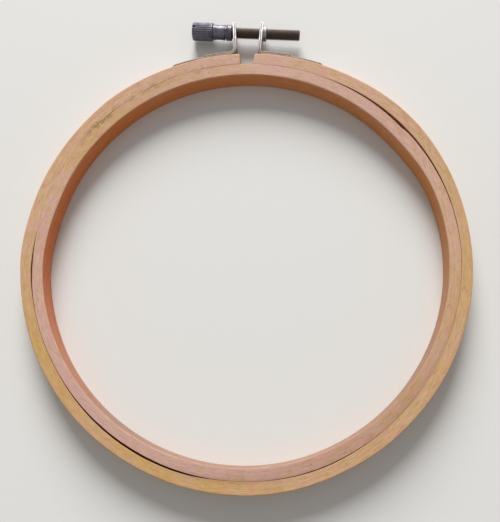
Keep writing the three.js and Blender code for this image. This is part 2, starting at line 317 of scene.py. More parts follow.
def round_half(angle):
    """Angles as turns of up to half a circle to either side of the split."""
    return np.mod(angle + 180, 360) - 180


def ripple(angle, seed, size, counts):
    """A smooth unevenness: waves with whole numbers of periods and random starts, added up and averaged."""
    starts = np.random.default_rng(seed).uniform(0, 2 * np.pi, len(counts))
    waves = [np.sin(count * np.radians(angle) + start) for count, start in zip(counts, starts)]
    return size * np.sum(waves, axis=0) / len(counts)


def uneven(angle, places):
    """Smooth bumps, each with its place, width and height, which falls off by the bell curve."""
    return sum(off * np.exp(-0.5 * (round_half(angle - at) / width) ** 2) for at, width, off in places)


def facing(angle, place):
    """1 at a place on the ring and 0 opposite it: half of 1 more than the cosine of the angle between."""
    return 0.5 + 0.5 * np.cos(np.radians(angle - place))


def ease(value, start, end):
    """0 before the start and 1 past the end, with a smooth way between: three squares less two cubes."""
    share = np.clip((value - start) / (end - start), 0, 1)
    return share ** 2 * (3 - 2 * share)

# %% [markdown]
# ## The wooden strips
#
# Each ring is a planed strip of beech, steamed and bent, with its edges eased by sanding. A torus or a
# bevelled block bent by a modifier would do for the shape. Carrying an outline round lets the wall, the
# height and each eased edge differ a little along the way, as they do on wood that was bent and sanded.

# %% The outline of a strip
face_steps = 9
corner_steps = 6


def strip_outline():
    """The outline across a strip, once round from the foot of its inner wall: four faces, an arc after each.
    A point has its share of the wall, 0 inside and 1 outside, its share of the height, and how far each
    corner's radius pushes it across and upwards: a face's ends by one, an arc by one less the sine of its
    turn back along the face before and one less the cosine along the next. eased is 1 in the middle of an
    arc, and bore is 1 on the inner wall and fades over its arcs."""
    along = np.linspace(0, 1, face_steps)[:, None]
    turn = np.linspace(0, np.pi / 2, corner_steps + 2)[1:-1, None]
    corners = np.array([(0, 0), (0, 1), (1, 1), (1, 0)])
    ways = np.roll(corners, -1, axis=0) - corners
    spots, pushes = [], []
    for k, way in enumerate(ways):
        after = (k + 1) % len(corners)
        on_face = np.zeros((face_steps, 2, len(corners)))
        on_face[:, :, k] = (1 - along) * way
        on_face[:, :, after] = -along * way
        on_arc = np.zeros((corner_steps, 2, len(corners)))
        on_arc[:, :, after] = (1 - np.cos(turn)) * ways[after] - (1 - np.sin(turn)) * way
        spots += [corners[k] + along * way, corners[[after] * corner_steps]]
        pushes += [on_face, on_arc]
    spots, pushes = np.concatenate(spots), np.concatenate(pushes)
    turn = turn.ravel()
    bore = np.zeros(len(spots))
    bore[:face_steps] = 1
    bore[face_steps:face_steps + corner_steps] = np.cos(turn) ** 2
    bore[-corner_steps:] = np.sin(turn) ** 2
    eased = np.tile(np.append(np.zeros(face_steps), np.sin(2 * turn)), len(corners))
    return SimpleNamespace(
        wall=spots[:, 0], height=spots[:, 1], across=pushes[:, 0].T, upwards=pushes[:, 1].T,
        eased=eased, bore=bore)


outline = strip_outline()
print("outline of", len(outline.wall), "points")


def sweep_strip(angle, inside, outside, dip, edges, drawn_in=0.0):
    """Points of a strip, stations by outline points. The radius runs from inside to outside by the share of
    the wall, the height up to the ring's less the dip, and the corner radii push both. drawn_in moves every
    face inwards, by a few tenths at a sawn end."""
    wall, height = outline.wall, outline.height
    radius = inside * (1 - wall) + outside * wall + edges @ outline.across + drawn_in * (1 - 2 * wall)
    z = (ring_height - dip) * height + edges @ outline.upwards + drawn_in * (1 - 2 * height)
    return np.concatenate([ring_middle + round_ring(angle, radius), z[:, :, None]], axis=2)

# %% [markdown]
# ## Where the rings meet
#
# The outer ring is bent round the inner one, so both are made from one formula where they meet. The long
# edges there are nearly sharp, and the others are sanded round. The points also get numbers that steer the
# finish: sanded edges, the bore, tinted and dull stretches, painted shade along the joint at the bottom,
# bruises at the upper left, and where the bore gets its painted shade, its redder painted reflection and its
# dimmed lit tone. These could be image textures, but numbers stay with the mesh.

# %% The joint and its marks
meeting_bulges = [(24, 14, -0.25), (80, 17, 0.6), (170, 18, 0.65), (255, 9, 0.25), (330, 20, -0.35)]
pressed_shut = [(15, 9, 1.0), (294, 14, 0.8), (345, 10, 0.5)]
eased_edge = 0.42
meeting_edge = 0.065
grip = 0.03
# Painted shade along the joint between the rings, mostly at the bottom.
joint_shade_spots = [(183, 12, 0.8), (128, 22, 0.2)]
bruises = [(310, 3, 0.6), (315, 3, 1.0), (326, 3, 0.7), (334, 3, 0.6), (347, 2, 0.6)]
bruise_edge = 0.3
# The bore's painted light: orange painted shade centred at 350, a redder painted reflection centred at 260,
# and a dimmed tone where the light falls, centred at 170.
shade_at, painted_reflection_at, lit_at = 350, 260, 170
sharper_by = 0.75
# Painted light on the side where the light falls: the sanded edges painted less pale, and the bore's painted
# tone reaching further over its arcs.
less_pale_where_lit, bore_paint_further_where_lit = 0.75, 0.65
no_glue = 9.0


def meeting_face(angle):
    """The radius of the inner ring's outer face, which the outer ring is bent round."""
    return inner_outside + uneven(angle, meeting_bulges) + ripple(angle, 1, 0.05, (5, 8, 13, 21))


def edge_radii(angle, seed, tight):
    """Radii of the four long edges. The two where the rings meet, given by their numbers, are nearly sharp,
    and sharper still where the rings are pressed shut."""
    radii = eased_edge + np.hstack([ripple(angle, seed + k, 0.12, (4, 9, 14, 23)) for k in range(4)])
    meeting = meeting_edge + np.hstack([ripple(angle, seed + 5 + k, 0.03, (7, 17, 29)) for k in range(2)])
    radii[:, tight] = meeting * (1 - sharper_by * np.clip(uneven(angle, pressed_shut), 0, 1))
    return radii


def strip_marks(angle, from_joint, joint_shade_reach, bruise_reach, lit, pink, yellow, dull):
    """Numbers for the finish. from_joint is the share of the wall between a point and the rings' joint, over
    which the painted shade along the joint and the bruises fade. lit is how much it counts that the light
    falls
    on one side: there the sanded edges are painted less pale, and the bore's painted tone reaches further
    over them."""
    lit = lit * facing(angle, lit_at)
    return {
        "eased": (1 - less_pale_where_lit * lit) * outline.eased,
        "inner_wall": outline.bore ** (1 - bore_paint_further_where_lit * lit),
        # Where the bore gets its redder painted reflection, and where its orange painted shade.
        "painted_reflection_side": facing(angle, painted_reflection_at),
        "shade_side": facing(angle, shade_at),
        "painted_joint_shade": uneven(angle, joint_shade_spots) * np.exp(-(from_joint / joint_shade_reach) ** 2),
        "bruised": uneven(angle, bruises) * ease(from_joint, bruise_reach, bruise_reach - bruise_edge),
        "pinkish": np.clip(uneven(angle, pink), 0, 1),
        "yellowish": np.clip(uneven(angle, yellow), 0, 1),
        "dulled": uneven(angle, dull) * (1 - outline.bore),
        "from_glue": no_glue,
        "glue_shows": 0.0,
    }

# %% [markdown]
# ## The inner ring
#
# The inner ring is one strip whose tapered ends are glued over each other for more than a third of the way
# round, where the wall is thicker. The joint's outer tip sinks a little and shows from above as a small step.
# A scan of a real hoop would carry all this, but a few numbers do as well. The glue line is a number too,
# each point's distance from it, which the finish turns into a thin dark stroke that fades from the tip.

# %% Make the inner ring
ring_stations = 960
lap_tip_at = 50.0
lap_run = 22.0
lap_step = 2.5
lap_depth = 0.35
overlap_from, overlap_to, overlap_ramp = -85.0, 60.0, 26.0
overlap_depth = 1.1
glue_fade = 20.0
glue_least = 0.12
sanded_off = 0.05
inner_paint = {
    "joint_shade_reach": 0.3, "bruise_reach": 0.5, "lit": 1.0,
    "pink": [(215, 28, 1.0), (25, 32, 0.4), (270, 14, 0.3)],
    "yellow": [(115, 24, 0.9), (312, 18, 1.0), (345, 12, 0.5)],
    "dull": [(138, 18, 1.0), (172, 14, 0.5), (42, 16, 0.4), (336, 16, 0.5)],
}

angle = np.arange(ring_stations)[:, None] * (360.0 / ring_stations)
from_split = round_half(angle)
into_lap = np.clip((angle - lap_tip_at + lap_run) / lap_run, 0, 1)
past_lap = np.clip((angle - lap_tip_at) / lap_step, 0, 1)
face = meeting_face(angle) - lap_depth * (into_lap ** 2 - past_lap) + grip
half_ramp = overlap_ramp / 2
overlap = ease(from_split, overlap_from - half_ramp, overlap_from + half_ramp)
overlap = overlap - ease(from_split, overlap_to - half_ramp, overlap_to + half_ramp)
bore = inner_inside - overlap_depth * overlap + sanded_off + ripple(angle, 2, 0.07, (2, 4, 7, 11))
dip = sanded_off + ripple(angle, 3, 0.05, (2, 5, 9, 17))
points = sweep_strip(angle, bore, face, dip, edge_radii(angle, 4, [2, 3]))

faces, row, column = grid_faces(*points.shape[:2], close_rows=True, close_columns=True)
along = row * (2 * np.pi * inner_inside / ring_stations)
uv = np.stack([along, way_round(points[0])[column]], axis=2)
marks = strip_marks(angle, 1 - outline.wall, **inner_paint)
glue_share = (from_split - overlap_from) / (lap_tip_at - overlap_from)
in_overlap = (glue_share > 0) & (glue_share < 1)
marks["from_glue"] = np.where(in_overlap, (outline.wall - glue_share) * (face - bore), no_glue)
fading = np.clip(1 - (lap_tip_at - from_split) / glue_fade, glue_least, 1)
marks["glue_shows"] = fading * (outline.wall > 0)
inner_ring = build("inner_ring_wood", points, faces, uv, marks)
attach(inner_ring, "inner_hoop")
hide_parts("inner_ring")

# %% [markdown]
# ## The outer ring
#
# The outer ring is drawn round the inner one. It touches in most places, where only a hair line shows, and
# in a few it stands off by some tenths of a millimetre, where the gap is dark. When the screw is undone its
# ends spread. One solid ring can't do that, so it is made in two halves, which meet opposite the split, where
# nothing moves.

# %% Make the outer ring's halves
half_stations = 480
split_gap = 5.3
right_end_slant = 0.4
end_ease = 0.18
gap_left = 0.02
stand_offs = [(44, 10, 0.6), (66, 9, 0.3), (159, 8, 0.25), (201, 7, 0.4), (216, 9, 0.4), (266, 5, 0.4)]
hair_gaps = [
    (32, 5, 0.12), (57, 6, 0.12), (84, 8, 0.08), (104, 8, 0.05), (142, 8, 0.05), (192, 4, 0.2),
    (207, 10, 0.12), (226, 8, 0.1), (246, 10, 0.12), (263, 5, 0.08), (315, 4, 0.08), (327, 4, 0.05),
]
outer_bulges = [(50, 16, 1.0), (176, 20, 0.55), (270, 6, 0.3), (321, 8, 0.4)]
outer_paint = {
    "joint_shade_reach": 0.2, "bruise_reach": 0.45, "lit": 0.0,
    "pink": [(356, 20, 0.9), (282, 10, 0.4), (35, 12, 0.2)],
    "yellow": [(95, 20, 0.6), (195, 22, 0.8), (240, 22, 0.9)],
    "dull": [(347, 22, 0.5), (50, 18, 0.4)],
}
face_sanded_off = 0.04
worn_at, worn_width, worn_by = 322, 22, 0.06
split_angle = math.degrees(math.asin(split_gap / 2 / outer_outside))
slant_degrees = math.degrees(right_end_slant / outer_inside)


def outer_face(angle):
    """The radius of the outer ring's outer face."""
    return outer_outside + uneven(angle, outer_bulges)


def outer_half(name, start, end, slant, sawn_first):
    """One half of the outer ring between two angles. The sawn end may slant, its inside corners lying back,
    and is eased by a quarter circle. The joint's upper edge is worn where the wood is bruised."""
    share = np.linspace(0, 1, half_stations)[:, None]
    middle = start + (end - start) * share
    angle = middle - slant * (1 - outline.wall) * (1 - share)
    from_end = share if sawn_first else 1 - share
    nearest = np.radians(abs(end - start)) * outer_inside * from_end
    drawn_in = end_ease * (1 - arc(1, np.clip(1 - nearest / end_ease, 0, 1)))
    gap = grip + gap_left + uneven(middle, stand_offs) + uneven(middle, hair_gaps)
    bore = meeting_face(middle) + gap + ripple(middle, 11, 0.015, (3, 6, 10, 17))
    face = outer_face(middle) - face_sanded_off + ripple(middle, 12, 0.04, (2, 5, 8, 15))
    dip = sanded_off + ripple(middle, 13, 0.05, (3, 4, 8, 19))
    edges = edge_radii(middle, 14, [0, 1])
    worn = np.exp(-((middle - worn_at) / worn_width) ** 2)
    edges[:, 1:2] += worn * (worn_by + ripple(middle, 21, 0.08, (31, 53, 78)))
    points = sweep_strip(angle, bore, face, dip, edges, drawn_in)
    faces, row, column = grid_faces(*points.shape[:2], close_columns=True)
    along = np.radians(middle)[row, 0] * outer_inside
    uv = np.stack([along, way_round(points[0])[column]], axis=2)
    count = len(outline.wall)
    sawn = np.stack([outline.wall * (outer_outside - outer_inside), outline.height * ring_height], axis=1)
    caps = [(station * count + np.arange(count), sawn) for station in (0, half_stations - 1)]
    half = build(name, points, faces, uv, strip_marks(middle, outline.wall, **outer_paint), caps)
    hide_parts("outer_ring")
    return half


right_half = outer_half("outer_ring_right", split_angle, 180.0, slant_degrees, True)
left_half = outer_half("outer_ring_left", 180.0, 360.0 - split_angle, 0.0, False)

# %% [markdown]
# ## The folded brackets
#
# Each bracket is one strip of sheet steel: a long foot along the wood, an ear that bends up from it and is
# folded double at its tip, and a short foot on top. It could be a block with a bevel, but the fold and the
# two thin layers are what shows from the side. The left ear's bend is the wider one, as in the photograph.

# %% The line that a strip follows
sheet = 0.5
fold_gap = 0.1
seat_gap = 0.1
bracket_width = 7.0
ear_reach = 14.0
ear_bends = {-1: 1.9, 1: 1.0}
under_foot = 23.0
over_foot = 11.0
foot_ease = 0.8
fold_pitch = sheet + fold_gap
ear_thickness = sheet + fold_pitch
ear_tip = outer_outside + ear_reach
line_steps = 60


def beside_ear(side, x, y):
    """Points beside an ear: x is square to the ear, away from the split, and y outwards along it."""
    sine, cosine = ear_way
    return np.stack([side * (x * cosine + y * sine), y * cosine - x * sine], axis=1)


def foot_line(side, start, end, rise):
    """Points over the wood's outer face, one seat and half a sheet above it, between two angles."""
    angle = side * np.linspace(start, end, line_steps)
    return round_ring(angle, outer_face(angle) + seat_gap + sheet / 2 + rise)


def bracket_line(side):
    """The strip's middle line in plan: long foot, bend, ear, fold over the tip, ear, bend, short foot. A bend
    is a quarter circle about a point beside the ear, the fold a half circle about the ear's own middle."""
    ear_bend = ear_bends[side]
    base = outer_face(side * ear_angle) + seat_gap + sheet / 2
    bend_x, bend_y = ear_bend + fold_pitch / 2, base + ear_bend + fold_pitch
    quarter = np.linspace(0, np.pi / 2, line_steps)
    half_turn = np.linspace(0, np.pi, line_steps)
    fold_y = ear_tip - ear_thickness / 2

    def foot_angle(length):
        return ear_angle + math.degrees(length / outer_outside)

    def bend(turn, radius):
        return beside_ear(side, bend_x - radius * np.cos(turn), bend_y - radius * np.sin(turn))

    bend_angle = foot_angle(bend_x + foot_ease)
    return np.concatenate([
        foot_line(side, foot_angle(under_foot), bend_angle, 0.0),
        bend(quarter[::-1], ear_bend + fold_pitch),
        beside_ear(side, -fold_pitch / 2 * np.cos(half_turn), fold_y + fold_pitch / 2 * np.sin(half_turn)),
        bend(quarter, ear_bend),
        foot_line(side, bend_angle, foot_angle(over_foot), fold_pitch),
    ])


for side in (-1, 1):
    print("bracket's flat strip", round(way_along(bracket_line(side))[-1], 1), "mm long")

# %% [markdown]
# ## A strip with holes
#
# A maker punches the holes before folding. A Boolean modifier could cut them, but would leave long thin
# triangles. Here the strip is a grid that is carried along its line, and a hole is left open by parting its
# middle columns: half the width between them is the half chord of the hole at that place.

# %% Across and along the strip
edge_radius = 0.1
across_steps = 10
edge_steps = 3
hole_steps = 20
station_gap = 0.35
end_shares = np.array([0.0, 0.0, 0.15, 0.5, 1.0])
foot_corner = 2.0
ear_round = 4.0
ear_tip_margin = 0.3


def stations_for(total, holes):
    """Places along the strip: even ones, cosine-spaced ones in each hole, so that its edge is round, and
    close ones over the rounded edge at both ends."""
    even = np.linspace(0, total, int(total / station_gap))
    free = (even > edge_radius) & (even < total - edge_radius)
    for at, radius in holes:
        free &= (even < at - radius) | (even > at + radius)
    turn = np.linspace(0, np.pi, hole_steps + 1)
    body = np.unique(np.concatenate([even[free]] + [at - radius * np.cos(turn) for at, radius in holes]))
    lead = edge_radius * end_shares
    return np.concatenate([lead, body, total - lead[::-1]])


def strip_section(thick, wide, gap):
    """How far points across the strip rise along its width and lift off its middle line: the front in two
    halves, a rounded edge, the back in two halves and the other edge. Also returns which are on an edge."""
    share = np.linspace(0, 1, across_steps)
    turn = np.linspace(0, np.pi / 2, edge_steps + 2)
    corner = np.minimum(edge_radius, thick)
    flat = wide - corner
    left = -flat + share * (flat - gap)
    right = gap + share * (flat - gap)
    edge_up = np.hstack([thick - corner + corner * np.cos(turn), corner - thick - corner * np.sin(turn)])
    edge_out = np.hstack([flat + corner * np.sin(turn), flat + corner * np.cos(turn)])
    front = np.repeat(thick, 2 * across_steps, axis=1)
    rise = np.hstack([left, right, edge_out, right[:, ::-1], left[:, ::-1], -edge_out])
    return rise, np.hstack([front, edge_up, -front, -edge_up]), np.abs(rise) >= flat


def up_ear(side, line):
    """How far points lie outwards, measured along the ear."""
    return side * line[:, 0] * ear_way[0] + line[:, 1] * ear_way[1]


def strip_width(side, line, places):
    """Half the strip's width at places along it: rounded corners at the long foot's end, full along the feet,
    and on the ear the half chord of a circle that leaves the fold at the tip whole."""
    beyond = np.clip(up_ear(side, line) - (ear_tip + ear_tip_margin - ear_round), 0, None)
    on_ear = np.interp(places, way_along(line), arc(ear_round, beyond))
    into_corner = foot_corner - np.clip(places, 0, foot_corner)
    return np.minimum(on_ear, bracket_width / 2 - foot_corner + arc(foot_corner, into_corner))


def hole_chord(places, holes):
    """Half the width of the hole at each place along the strip, or 0 where there is none."""
    return np.max([arc(radius, places - at) for at, radius in holes], axis=0)

# %% Build a strip
look_ahead = 0.02
same_place = 1e-6


def hole_walls(s, holes, columns):
    """Faces through the sheet between its front and back, where the two halves part at a hole."""
    front, back = across_steps - 1, columns // 2 + across_steps - 1
    here = np.nonzero(hole_chord((s[:-1] + s[1:]) / 2, holes))[0] * columns
    pairs = ((front + 1, back), (back + 1, front))
    fours = [(one, other, columns + other, columns + one) for one, other in pairs]
    return np.concatenate([here[:, None] + four for four in fours])


def strip_piece(name, side, line, holes):
    """A strip carried along a line in plan. holes are pairs of the way along and the radius."""
    line = line[np.append(True, np.diff(way_along(line)) > same_place)]
    way = way_along(line)
    total = way[-1]

    def plan_at(places):
        return np.stack([np.interp(places, way, line[:, k]) for k in range(2)], axis=1)

    s = stations_for(total, holes)
    from_end = np.minimum(np.minimum(s, total - s), edge_radius)
    shrink = edge_radius - arc(edge_radius, edge_radius - from_end)
    thick = sheet / 2 - shrink
    thick[0] = thick[-1] = 0.0
    chord = hole_chord(s, holes)
    wide = strip_width(side, line, s) - shrink
    rise, lift, on_edge = strip_section(thick[:, None], wide[:, None], chord[:, None])
    middle = plan_at(s)
    ahead = unit(plan_at(s + look_ahead) - plan_at(s - look_ahead))
    normal = np.stack([-ahead[:, 1], ahead[:, 0]], axis=1)
    plan = ring_middle + middle[:, None] + lift[:, :, None] * normal[:, None]
    points = np.concatenate([plan, (middle_height + rise)[:, :, None]], axis=2)

    rows, columns = rise.shape
    faces, row, column = grid_faces(rows, columns, close_columns=True)
    uv = np.stack([s[row], way_round(points[rows // 3])[column]], axis=2)
    solid = column[:, 0] % (columns // 2) != across_steps - 1
    walls = hole_walls(s, holes, columns)
    marks = {"up_ear": np.linalg.norm(middle, axis=1)[:, None] - outer_outside, "cut_edge": on_edge}
    every = np.concatenate([faces[solid], walls])
    return build(name, points, every, np.concatenate([uv[solid], np.zeros((len(walls), 4, 2))]), marks)

# %% [markdown]
# ## Holes for the screw and the tacks
#
# The screw turns in a tapped hole in the right ear and passes through a wider plain one in the left ear. Two
# tacks hold each bracket. The holes' places could be typed in, but they are found from where the screw's line
# and the tacks are in the frame, so the sheet is open exactly where something passes through it.

# %% Make the brackets
shank_radius = 1.95
thread_clearance = 0.15
ear_clearance = 0.4
tack_shank = 0.5
tack_clearance = 0.25
tapped_radius = shank_radius + thread_clearance
seat_distance = float(np.linalg.norm(screw_seat[:2] - ring_middle))
lean = math.radians(2 * ear_angle)


def tack_spot(name):
    """The middle of a tack, in plan from the rings' middle."""
    low, high = (np.array(corner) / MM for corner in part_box(name))
    return (low + high) / 2 - np.append(ring_middle, 0)


def crossings(line, level, goal):
    """The ways along a line at which a quantity given at its points passes a goal."""
    way = way_along(line)
    before, after = level[:-1] - goal, level[1:] - goal
    passed = np.nonzero(before * after < 0)[0]
    share = before[passed] / (before[passed] - after[passed])
    return way[passed] + share * (way[passed + 1] - way[passed])


def bracket(word, side):
    """One folded bracket with its holes. The left ear leans to the screw, so its hole lies further out."""
    line = bracket_line(side)
    angle = np.degrees(np.arctan2(side * line[:, 0], line[:, 1]))
    hole_radius = tapped_radius if side > 0 else shank_radius + ear_clearance
    hole_up = seat_distance if side > 0 else seat_distance / math.cos(lean)
    holes = [(at, hole_radius) for at in crossings(line, up_ear(side, line), hole_up)]
    for place in ("near", "far"):
        x, y, _ = tack_spot(f"tack_{word}_{place}")
        goal = math.degrees(math.atan2(side * x, y))
        holes += [(at, tack_shank + tack_clearance) for at in crossings(line, angle, goal)]
    print(word, "bracket's holes, way along and radius:", np.round(sorted(holes), 2).tolist())
    piece = strip_piece(f"bracket_{word}_sheet", side, line, holes)
    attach(piece, f"{word}_clamp")
    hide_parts(f"bracket_{word}")
    return piece


brackets = [bracket("left", -1), bracket("right", 1)]

# %% [markdown]
# ## Turned pieces
#
# The bush, the tacks and the screw are turned about a line. Blender's Spin or a Screw modifier could sweep a
# profile round. A grid does the same with one radius for each place along the line and each angle about it,
# and that radius may also carry a thread or a knurl.

# %% Helpers for turned pieces
def turned_piece(name, origin, axis, along, radius, marks=None, closed=False, sharp=smooth_below):
    """A turned surface. along and radius are grids of rows by columns, and the columns go once round. A
    profile from radius 0 to radius 0 closes at its poles, and a closed one meets itself. V is the way round
    at the mean radius."""
    count = radius.shape[1]
    axis = unit(axis)
    first = unit(np.cross([0.0, 0.0, 1.0], axis))
    second = np.cross(axis, first)
    turn = 2 * np.pi * np.arange(count)[:, None] / count
    outwards = np.cos(turn) * first + np.sin(turn) * second
    points = origin + along[:, :, None] * axis + radius[:, :, None] * outwards
    faces, row, column = grid_faces(*radius.shape, close_rows=closed, close_columns=True)
    steps = way_along(np.stack([along.mean(1), radius.mean(1)], axis=1))
    steps = np.append(steps, steps[-1])
    uv = np.stack([steps[row], column * (2 * np.pi * radius.mean()) / count], axis=2)
    return build(name, points, faces, uv, marks, sharp=sharp)


def profile(pairs, columns):
    """Grids of the way along and the radius from a list of (along, radius) corners."""
    return [np.tile(part, (columns, 1)).T for part in zip(*pairs)]

# %% [markdown]
# ## Bush and tacks
#
# The right ear carries a short tapped bush, which gives the thread more turns to hold. The tacks are small
# wire nails with domed heads. Both could be cylinders with a bevel, but a profile shapes each rim by itself.

# %% Make the bush and the tacks
bush_wall = 0.4
bush_length = 1.3
bush_edge = 0.1
tack_length = 3.0
tack_point = 1.0
tack_head = 1.1
tack_rise = 0.45
tack_rim = 0.12
round_columns = 48
dome_steps = 8

start = ear_thickness / 2
end = start + bush_length
outside = tapped_radius + bush_wall
bush_profile = [
    (start, tapped_radius), (end - bush_edge, tapped_radius), (end, tapped_radius + bush_edge),
    (end, outside - bush_edge), (end - bush_edge, outside), (start, outside),
]
bush = turned_piece("bush_right", screw_seat, towards_tip, *profile(bush_profile, round_columns), closed=True)
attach(bush, "right_clamp")

tacks = []
dome = np.linspace(0, np.pi / 2, dome_steps + 1)[1:]
for word in ("left", "right"):
    for place in ("near", "far"):
        spot = tack_spot(f"tack_{word}_{place}")
        reach = np.linalg.norm(spot[:2])
        top = reach + (tack_length + tack_rise) / 2
        under_head = top - tack_rise
        point = under_head - tack_length
        rim = under_head + tack_rim
        pairs = [(point, 0.0), (point + tack_point, tack_shank), (under_head, tack_shank)]
        pairs += [(under_head, tack_head), (rim, tack_head)]
        pairs += [(rim + (top - rim) * math.sin(a), tack_head * math.cos(a)) for a in dome]
        origin = np.append(ring_middle, spot[2])
        outward = np.append(spot[:2] / reach, 0.0)
        tack = turned_piece(f"tack_{word}_{place}_nail", origin, outward, *profile(pairs, round_columns))
        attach(tack, f"{word}_clamp")
        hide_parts(f"tack_{word}_{place}")
        tacks.append(tack)

# %% [markdown]
# ## The clamp screw
#
# The screw is turned from one bar: a knurled barrel with a slot for a coin, a waisted neck, a groove, a
# collar that bears on the left ear, and a shank with an M4 thread. A bump map would be lighter, but leave the
# outline smooth. Here all of it is one surface, a radius for each place along the bar and each angle. The
# radius dips at each tooth, and along the shank it rises and falls once for every 0.7 mm of pitch, shifted by
# the angle, which makes a real helix.

# %% The bar without teeth or thread
head_radius = 3.18
head_length = 7.6
head_chamfer = 0.6
head_end_radius = 2.6
neck_radius = 2.7
neck_waist = 2.5
neck_length = 4.7
groove_radius = 2.2
groove_length = 0.5
collar_radius = 2.75
collar_length = 2.0
collar_edge = 0.15
shank_length = 24.5
shank_tip = 0.4

groove_start = head_length + neck_length - groove_length
collar_start = head_length + neck_length
shoulder = collar_start + collar_length
tip = shoulder + shank_length


def bar_radius(y):
    """A barrel with rounded ends, a waist like a parabola, a groove, a collar with rounded edges, a shank."""
    barrel_ends = np.minimum(y, head_length - y)
    barrel = head_radius - head_chamfer * (1 - arc(1, np.clip(1 - barrel_ends / head_chamfer, 0, 1)))
    half_neck = (groove_start - head_length) / 2
    from_waist = (y - head_length - half_neck) / half_neck
    neck = neck_waist + (neck_radius - neck_waist) * from_waist ** 2
    collar_ends = np.minimum(y - collar_start, shoulder - y)
    collar = collar_radius - collar_edge * np.clip(1 - collar_ends / collar_edge, 0, 1) ** 2
    in_groove = (y > groove_start) & (y < collar_start)
    return np.select(
        [y <= head_length, y <= groove_start, in_groove, y <= shoulder],
        [np.maximum(barrel, head_end_radius), neck, groove_radius, collar],
        shank_radius,
    )


print("screw", round(tip, 2), "mm long")

# %% Teeth and thread
knurl_teeth = 26
knurl_depth = 0.16
knurl_slope = 4
knurl_from, knurl_to, knurl_run = 0.25, 0.45, 0.35
pitch = 0.7
thread_depth = 0.34
thread_slope = 0.72
thread_from, thread_run = 0.3, 0.5
columns_per_tooth = 4
rows_per_pitch = 12
barrel_margin = 0.8
chamfer_rows, barrel_rows, neck_rows = 7, 22, 26
groove_rows = np.array([0.12, 0.25, 0.5, 0.75, 0.88])
collar_rows = np.array([0.2, 0.1, 0.0])

place = np.concatenate([
    [0.0],
    np.linspace(0, head_chamfer, chamfer_rows),
    np.linspace(barrel_margin, head_length - barrel_margin, barrel_rows),
    np.linspace(head_length - head_chamfer, head_length, chamfer_rows),
    np.linspace(head_length, groove_start, neck_rows)[1:],
    groove_start + groove_length * groove_rows,
    [collar_start, collar_start + collar_edge],
    shoulder - collar_rows,
    np.arange(shoulder, tip, pitch / rows_per_pitch),
    [tip, tip],
])
columns = knurl_teeth * columns_per_tooth
y = np.repeat(place[:, None], columns, axis=1)
turn_share = np.arange(columns)[None, :] / columns
tooth = np.mod(turn_share * knurl_teeth, 1)
knurl_share = np.clip(1 - knurl_slope * np.minimum(tooth, 1 - tooth), 0, 1)
on_barrel = np.clip(np.minimum(y - knurl_from, head_length - knurl_to - y) / knurl_run, 0, 1)
on_shank = np.clip((y - shoulder - thread_from) / thread_run, 0, 1)
thread_turn = 2 * np.pi * ((y - shoulder) / pitch - turn_share)
thread_share = np.clip(0.5 - thread_slope * np.cos(thread_turn), 0, 1) * on_shank
radius = bar_radius(y) - knurl_depth * knurl_share * on_barrel - thread_depth * thread_share
radius = np.where(y > tip - shank_tip, np.minimum(radius, shank_radius - shank_tip + (tip - y)), radius)
radius[0] = radius[-1] = 0.0
print("screw's grid:", len(place), "rows by", columns, "columns")

# %% Make the screw
shoulder_clearance = 0.15
slot_width = 0.9
slot_depth = 1.1
screw_sharp = 48.0

ear_back = seat_distance * math.tan(lean) + ear_thickness / 2 / math.cos(lean)
head_back = ear_back + collar_radius * math.tan(lean) + shoulder_clearance + shoulder
screw_origin = screw_seat - towards_tip * head_back
screw_marks = {
    "grooved": knurl_share * on_barrel + thread_share,
    "threaded": y >= shoulder,
    "knurled": on_barrel,
}
screw = turned_piece("clamp_screw_bar", screw_origin, towards_tip, y, radius, screw_marks, sharp=screw_sharp)


def cut_slot(piece):
    """Cuts the slot across the head's end with a box, by a Boolean modifier that is applied at once."""
    sideways = np.cross([0.0, 0.0, 1.0], towards_tip)
    signs = np.array([(a, b, c) for a in (-1, 1) for b in (-1, 1) for c in (-1, 1)])
    reach = [sideways * slot_width / 2, towards_tip * slot_depth, np.array([0, 0, 2 * head_radius])]
    sides = [(0, 1, 3, 2), (4, 6, 7, 5), (0, 4, 5, 1), (2, 3, 7, 6), (0, 2, 6, 4), (1, 5, 7, 3)]
    mesh = bpy.data.meshes.new("slot")
    mesh.from_pydata(((screw_origin + signs @ np.stack(reach)) * MM).tolist(), [], sides)
    weld(mesh)
    cutter = show("slot", mesh)
    cut = piece.modifiers.new("slot", "BOOLEAN")
    cut.object = cutter
    cut.operation = "DIFFERENCE"
    cut.solver = "EXACT"
    bpy.context.view_layer.update()
    done = bpy.data.meshes.new_from_object(piece.evaluated_get(bpy.context.evaluated_depsgraph_get()))
    piece.modifiers.clear()
    piece.data = done
    bpy.data.objects.remove(cutter)
    weld(done)
    done.set_sharp_from_angle(angle=math.radians(screw_sharp))


cut_slot(screw)
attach(screw, "screw")
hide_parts("clamp_screw")

# %% [markdown]
# ## Beech
#
# Beech is pale and even, with fine lines along the grain, clouds of yellower and pinker wood, and short dark
# flecks. This hoop also has dull stretches and olive blots where the upper left was bruised. Its bore is
# painted with light of its own: an orange painted shade by the clamp, a redder painted reflection at the
# left, and a dimmed honey-coloured tone at the bottom, where the light falls. Painted shade also darkens the
# joint between the rings at the bottom. Blender's wood textures come from waves, which look drawn on. Here
# stretched noise is laid along the UV map, so every streak follows the bend, and the numbers painted on the
# points say where each stretch is.

# %% Helpers for finishes
def scaled(vector, along, across):
    """The UV map in patches: so many to the millimetre along the piece and across it."""
    scale = (along / MM, across / MM, 1.0)
    return add(vector.id_data, "Mapping", {"Vector": vector, "Scale": scale})


